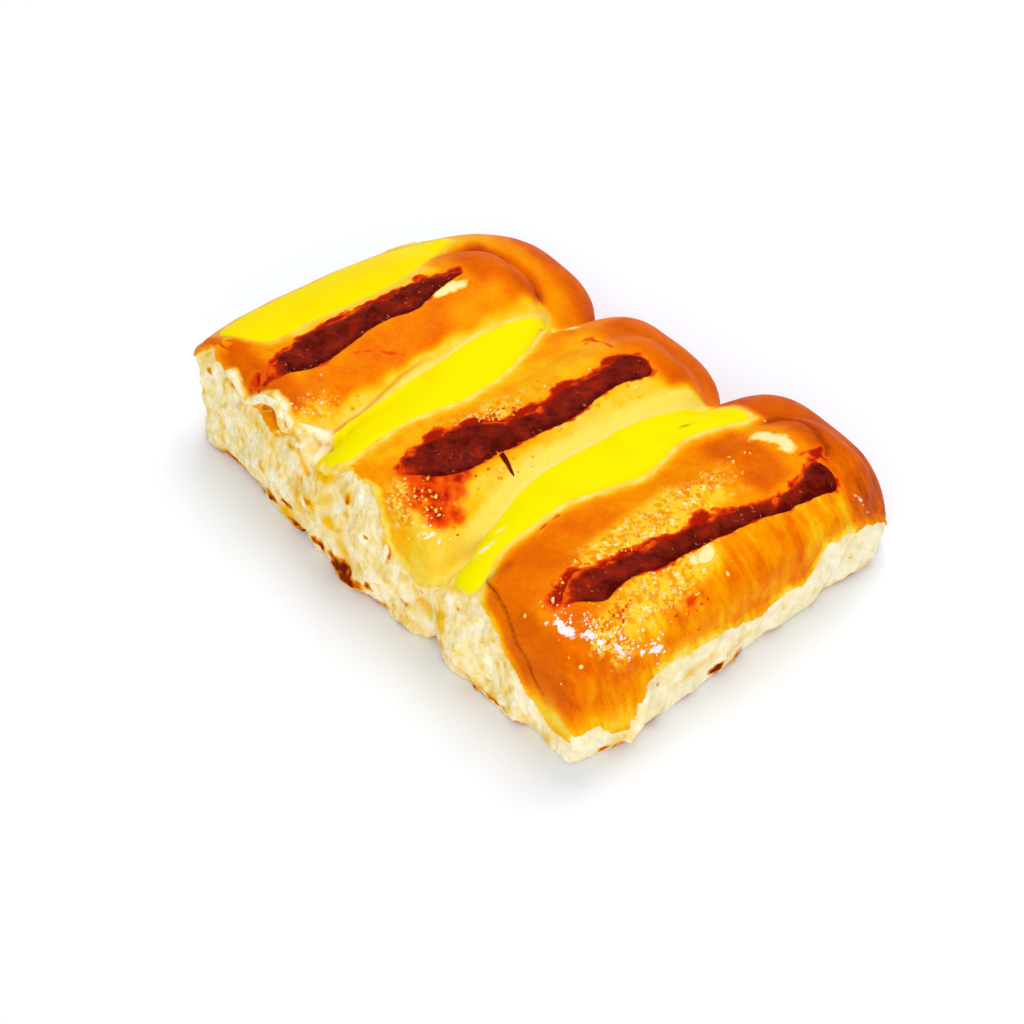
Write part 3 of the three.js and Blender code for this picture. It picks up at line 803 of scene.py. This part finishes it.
# ---- the guava jam ----
# Firm guava jam laid in the slit cut along each roll's crest. It baked dark, lumpy and sticky, and is red
# where it is thin. Beside the second roll's strip a shred of the fruit lies on the crust.
JAM_RISE, JAM_SINK, JAM_LIFT = 0.3, 4, 0.3
JAM_WANDER = (1.2, 0.6)
JAM_LUMPS = ((0.45, 2.6, 20), (0.3, 1.1, 30))
THIN_STARTS = ((12, 3), (5, 0), (9, 1))  # how far along each strip it is thinner, and how far it is thinnest
JAM_SHADES = (
    (0.0, srgb(84, 6, 0)), (0.3, srgb(124, 26, 10)), (0.55, srgb(156, 30, 4)), (0.8, srgb(204, 48, 4)),
    (1.0, srgb(240, 92, 8)),
)
# The colour of painted highlights on the jam.
JAM_PAINTED_HIGHLIGHT = srgb(206, 130, 96)

guava = Finish("guava_jam", roughness=0.3, specular_ior_level=0.02)
jam_tone = guava.ramp(guava.painted("thin") + 0.9 * guava.grain(2.4, 4, 0.6) - 0.45, *JAM_SHADES)
# Pale pink dots here and there on the jam: painted highlights.
painted_highlight_dots = guava.stepped(guava.grain(1.5, 2, 0.6), 0.64, 0.72) * guava.stepped(guava.grain(9, 2), 0.46, 0.56)
jam_tone = guava.mixed(0.55 * painted_highlight_dots, jam_tone, JAM_PAINTED_HIGHLIGHT)
guava.shades(base_color=jam_tone, normal=guava.bumped(guava.grain(0.8, 3), 0.4, 0.7))
for i, outline in enumerate(GUAVAS, start=1):
    strip = poured(f"guava_strip_{i}", outline, (230, 26), JAM_RISE, JAM_SINK, JAM_LIFT, JAM_WANDER,
                   50 + 6 * i)
    places, facing = places_of(strip.data), facing_of(strip.data)
    lumps = uneven(places, *[(depth, size, seed + i) for depth, size, seed in JAM_LUMPS])
    lumps = ease(0, 1.6, -beyond(outline, places)) * lumps
    put_back(strip.data, places + facing * (lumps * (facing[:, 2] > 0))[:, None])
    x, y = places.T[:2]
    far, near = along(outline, 1, y), along(outline, 2, y)
    from_far = x - far + 2.4 * rough(places, 7, 60 + i) + 1.2 * rough(places, 2.6, 62 + i)
    thin = 0.8 * ease(2.4, -0.6, from_far) - 0.25 * ease(3, 0.3, near - x)
    thin += 0.35 * rough(places, 5, 65 + i) + 0.25
    thin += 0.7 * ease(*THIN_STARTS[i - 1], y - outline[0][0])
    paint(strip, "thin", np.clip(thin, 0, 1))
    strip.data.materials.append(guava.material)
    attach(strip, "root")
    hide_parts(f"guava_{i}")


def strand(name, route, seed):
    """A closed tapering roll along a route of (x, y, z, radius), with a slightly lumpy skin."""
    around, between, smoothings = 12, 6, 6
    route = np.array(route, dtype=float)
    turns = np.arange(len(route))
    steps = np.linspace(0, len(route) - 1, between * (len(route) - 1) + 1)
    fine = np.stack([np.interp(steps, turns, column) for column in route.T], axis=1)
    for _ in range(smoothings):
        fine[1:-1] = (fine[:-2] + 2 * fine[1:-1] + fine[2:]) / 4
    heading = np.gradient(fine[:, :3], axis=0)
    shape = bmesh.new()
    rings = []
    for (x_at, y_at, z_at, radius), way in zip(fine, heading):
        ring = bmesh.ops.create_circle(shape, segments=around, radius=radius * MM)["verts"]
        bmesh.ops.rotate(shape, verts=ring, matrix=Vector(way).to_track_quat("Z", "Y").to_matrix())
        bmesh.ops.translate(shape, verts=ring, vec=(Vector((x_at, y_at, z_at)) + Vector(ROW)) * MM)
        rings.append(list({edge for vertex in ring for edge in vertex.link_edges}))
    for ring, following in zip(rings, rings[1:]):
        bmesh.ops.bridge_loops(shape, edges=ring + following)
    for ring in (rings[0], rings[-1]):
        bmesh.ops.contextual_create(shape, geom=ring)
    bmesh.ops.recalc_face_normals(shape, faces=shape.faces)
    piece = finished(shape, name)
    places, facing = places_of(piece.data), facing_of(piece.data)
    thick = np.repeat(fine[:, 3], around)
    put_back(piece.data, places + facing * (0.3 * thick * rough(places, 2.2, seed))[:, None])
    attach(piece, "root")
    return piece


# The shred, from the jam outwards: x, y and how thick it is.
SHRED = ((99.5, 40.6, 0.9), (101.5, 40.4, 0.8), (103.4, 40, 0.65), (105.2, 39.4, 0.5), (106.8, 39.2, 0.2))
shred = strand("guava_shred", [(a, b, resting(a, b) + 0.4 * thick, thick) for a, b, thick in SHRED], 70)
paint(shred, "thin", np.full(len(shred.data.vertices), 0.1))
shred.data.materials.append(guava.material)


# ---- the torn skin ----
# Where the rolls were pulled off the next row their skin stretched, tore and curled up in pale soft rolls. It
# is the same dough, and each roll of it still hangs on the crust by its root.
CURLED_SKIN = {
    "torn_skin_1": (
        (13.5, 2.6, 39.5, 0.8), (16, 2.2, 42.6, 1.3), (18.6, 2.2, 43, 1.3), (20.8, 1.8, 41.2, 1.2),
        (23.4, 1.2, 39, 1.1), (25.4, 1, 37, 0.6),
    ),
    "torn_skin_2": (
        (27.5, 1.6, 37.5, 0.8), (29, 1.8, 41.2, 1.3), (32.5, 2.6, 44.2, 1.5), (37, 3.6, 45.6, 1.6),
        (40.6, 3.4, 44.8, 1.7), (42, 2.2, 42, 1.7), (43.5, 1.6, 40.2, 1.2), (46, 2.2, 41.6, 0.9),
    ),
    "torn_skin_3": (
        (46.5, 4, 43.2, 0.8), (50, 6, 42.2, 1.5), (53, 8.6, 40.4, 1.9), (55.4, 10, 38, 1.9),
        (55.6, 7, 36, 1.8), (56, 3.6, 34.4, 1.5), (57.5, 1.4, 32, 1.0),
    ),
    "torn_skin_4": (
        (179, 20, 3, 1.2), (178.6, 23.5, 6, 2.0), (178.6, 25.5, 11, 2.3), (178.8, 26, 16, 1.9),
        (178.6, 27.5, 20, 1.0),
    ),
    "torn_skin_5": ((94, 1.6, 38.5, 0.6), (93.6, 0.8, 34, 1.0), (93.4, 0.4, 29, 1.1), (92.6, 0.2, 24, 0.6)),
}
SKIN_SHADES = ((0.34, srgb(250, 206, 104)), (0.44, srgb(255, 234, 164)), (0.58, srgb(260, 248, 214)))

torn_skin = Finish("torn_skin", roughness=0.7, specular_ior_level=0.02)
torn_skin.shades(
    base_color=torn_skin.ramp(torn_skin.grain(3.5, 4, 0.6), *SKIN_SHADES),
    normal=torn_skin.bumped(torn_skin.grain(1.2, 3), 0.4, 0.5),
)
for i, (name, route) in enumerate(CURLED_SKIN.items()):
    curl = strand(name, route, 80 + i)
    curl.data.materials.append(torn_skin.material)


# ---- the grains on the crust ----
# Coarse crumbs of toasted dough along the slits, white grains of sugar in the glaze, which also stand for
# painted highlights, and bits of jam that burst from the slits. All are baked on, half sunk in the crust.
def grains(name, seed, count, size, places_wanted, finish):
    """Small rough lumps on the dough, as one piece. places_wanted are (x, y, width, length, share)."""
    draw = random.Random(seed)
    pebble = bmesh.new()
    bmesh.ops.create_icosphere(pebble, subdivisions=1, radius=1)
    model = bpy.data.meshes.new("pebble")
    pebble.to_mesh(model)
    pebble.free()
    shape = bmesh.new()
    tones = []
    weights = [share for *_, share in places_wanted]
    while len(tones) < count * len(model.vertices):
        x_mid, y_mid, wide, long, _ = draw.choices(places_wanted, weights)[0]
        x_at, y_at = draw.gauss(x_mid, wide / 2), draw.gauss(y_mid, long / 2)
        radius = draw.uniform(*size)
        tone = draw.uniform(0, 1)
        turn = Euler([draw.uniform(0, math.tau) for _ in range(3)]).to_matrix().to_4x4()
        stretch = Matrix.Diagonal((draw.uniform(0.7, 1.5), draw.uniform(0.7, 1.2), draw.uniform(0.4, 0.8), 1))
        spot = np.array([[x_at, y_at, 0.0]])
        in_filling = nearest(GUAVAS, spot)[0] < 0.3 or nearest(CUSTARDS, spot)[0] < 1.5
        if in_filling or y_at <= 2:
            continue
        lies = (Vector((x_at, y_at, resting(x_at, y_at))) + Vector(ROW)) * MM
        one = model.copy()
        one.transform(Matrix.Translation(lies) @ turn @ stretch @ Matrix.Scale(radius * MM, 4))
        shape.from_mesh(one)
        bpy.data.meshes.remove(one)
        tones += [tone] * len(model.vertices)
    bpy.data.meshes.remove(model)
    piece = finished(shape, name)
    paint(piece, "tone", tones)
    piece.data.materials.append(finish.material)
    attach(piece, "root")
    return piece


TOASTED_PLACES = (
    (87, 44, 6, 30, 3), (96, 9, 8, 7, 1.2), (149, 54, 7, 44, 4), (167, 40, 6, 26, 3), (46, 12, 8, 14, 1),
    (163, 24, 8, 6, 1), (104, 60, 3, 40, 0.6),
)
TOASTED_SHADES = ((0.0, srgb(250, 160, 10)), (0.5, srgb(255, 200, 50)), (1.0, srgb(255, 236, 160)))
toasted = Finish("toasted_crumbs", roughness=0.6, specular_ior_level=0.05)
toasted.shades(base_color=toasted.ramp(toasted.painted("tone"), *TOASTED_SHADES))
crumbs = grains("toasted_crumbs", 11, 420, (0.35, 0.8), TOASTED_PLACES, toasted)

# The white grains: sugar, and where they cluster, painted highlights.
SUGAR_AND_HIGHLIGHT_PLACES = (
    (158, 14, 5, 3, 2), (165, 18.6, 5, 3.4, 3), (170, 23, 3, 3, 1), (173, 27, 3, 4, 2), (175.5, 33, 2, 4, 2),
    (104, 8, 6, 4, 1), (163, 10, 6, 4, 0.5), (48, 12, 7, 8, 0.9), (172, 30, 5, 14, 0.5),
)
SUGAR_AND_HIGHLIGHT_SHADES = ((0.0, srgb(255, 232, 200)), (1.0, srgb(255, 255, 255)))
sugar_and_highlight = Finish("sugar_and_highlight_grains", roughness=0.25, specular_ior_level=0.3)
sugar_and_highlight.shades(base_color=sugar_and_highlight.ramp(sugar_and_highlight.painted("tone"), *SUGAR_AND_HIGHLIGHT_SHADES))
sugar_and_highlight_pieces = grains("sugar_and_highlight_grains", 12, 110, (0.25, 0.6), SUGAR_AND_HIGHLIGHT_PLACES, sugar_and_highlight)

JAM_PLACES = (
    (99, 14, 9, 5, 3), (86, 50, 3, 12, 1.5), (151, 17, 4, 5, 1.5), (166, 29, 4, 4, 1), (27, 5, 4, 3, 1),
    (174, 50, 3, 6, 1), (148, 24, 3, 8, 1), (100, 32, 3, 10, 0.7),
)
BIT_SHADES = ((0.0, srgb(190, 34, 4)), (0.6, srgb(232, 76, 4)), (1.0, srgb(250, 120, 10)))
bits = Finish("jam_bits", roughness=0.3, specular_ior_level=0.08)
bits.shades(base_color=bits.ramp(bits.painted("tone"), *BIT_SHADES))
jam_bits = grains("jam_bits", 13, 90, (0.3, 0.7), JAM_PLACES, bits)


# ---- the floor, the light and the camera ----
# A plain pale surface under two square soft lights: one above and behind the rolls, whose shadow falls
# towards the viewer, and one in front. The camera looks down at them through a long lens, from the
# photograph's side.
FLOOR_REACH, FLOOR_DROP = 4, 0.0002  # in metres: the floor lies just below the flat underside
FLOOR_WHITE = (0.925, 0.955, 1.0, 1)
ROOM_LIGHT, ROOM_STRENGTH = (0.97, 0.985, 1.03, 1), 0.55
TARGET = ROW + (101.33, 43.22, 20)
AZIMUTH, ELEVATION = math.radians(48.73), math.radians(49.99)
DISTANCE = 885.75  # in mm, from the target to the camera
LENS, FILM_WIDTH = 101.75, 36

floor_shape = bmesh.new()
bmesh.ops.create_grid(floor_shape, x_segments=1, y_segments=1, size=FLOOR_REACH)
bmesh.ops.translate(floor_shape, verts=floor_shape.verts, vec=(0, 0, -FLOOR_DROP))
floor = finished(floor_shape, "floor")
plain = Finish("plain_floor", roughness=0.9, specular_ior_level=0.0)
plain.shades(base_color=FLOOR_WHITE)
floor.data.materials.append(plain.material)

world = bpy.data.worlds.new("studio")
scene.world = world
world.use_nodes = True
room = world.node_tree.nodes["Background"]
room.inputs["Color"].default_value = ROOM_LIGHT
room.inputs["Strength"].default_value = ROOM_STRENGTH


def lamp(name, place, size, power):
    """A square soft light at a place in mm, facing the rolls. Its size is in metres, its power in watts."""
    light = bpy.data.lights.new(name, "AREA")
    light.size = size
    light.energy = power
    holder = bpy.data.objects.new(name, light)
    holder.location = Vector(place) * MM
    holder.rotation_euler = holder.location.to_track_quat("Z", "Y").to_euler()
    scene.collection.objects.link(holder)


lamp("overhead", (-150, 310, 880), 0.6, 4.75)
lamp("front", (900, -800, 560), 1.2, 8.4)

camera = bpy.data.cameras.new("camera")
camera.lens = LENS
camera.sensor_width = FILM_WIDTH
view = bpy.data.objects.new("camera", camera)
back = Vector((
    math.sin(AZIMUTH) * math.cos(ELEVATION), -math.cos(AZIMUTH) * math.cos(ELEVATION), math.sin(ELEVATION)
))
view.location = (Vector(TARGET) + DISTANCE * back) * MM
view.rotation_euler = back.to_track_quat("Z", "Y").to_euler()
scene.collection.objects.link(view)
scene.camera = view
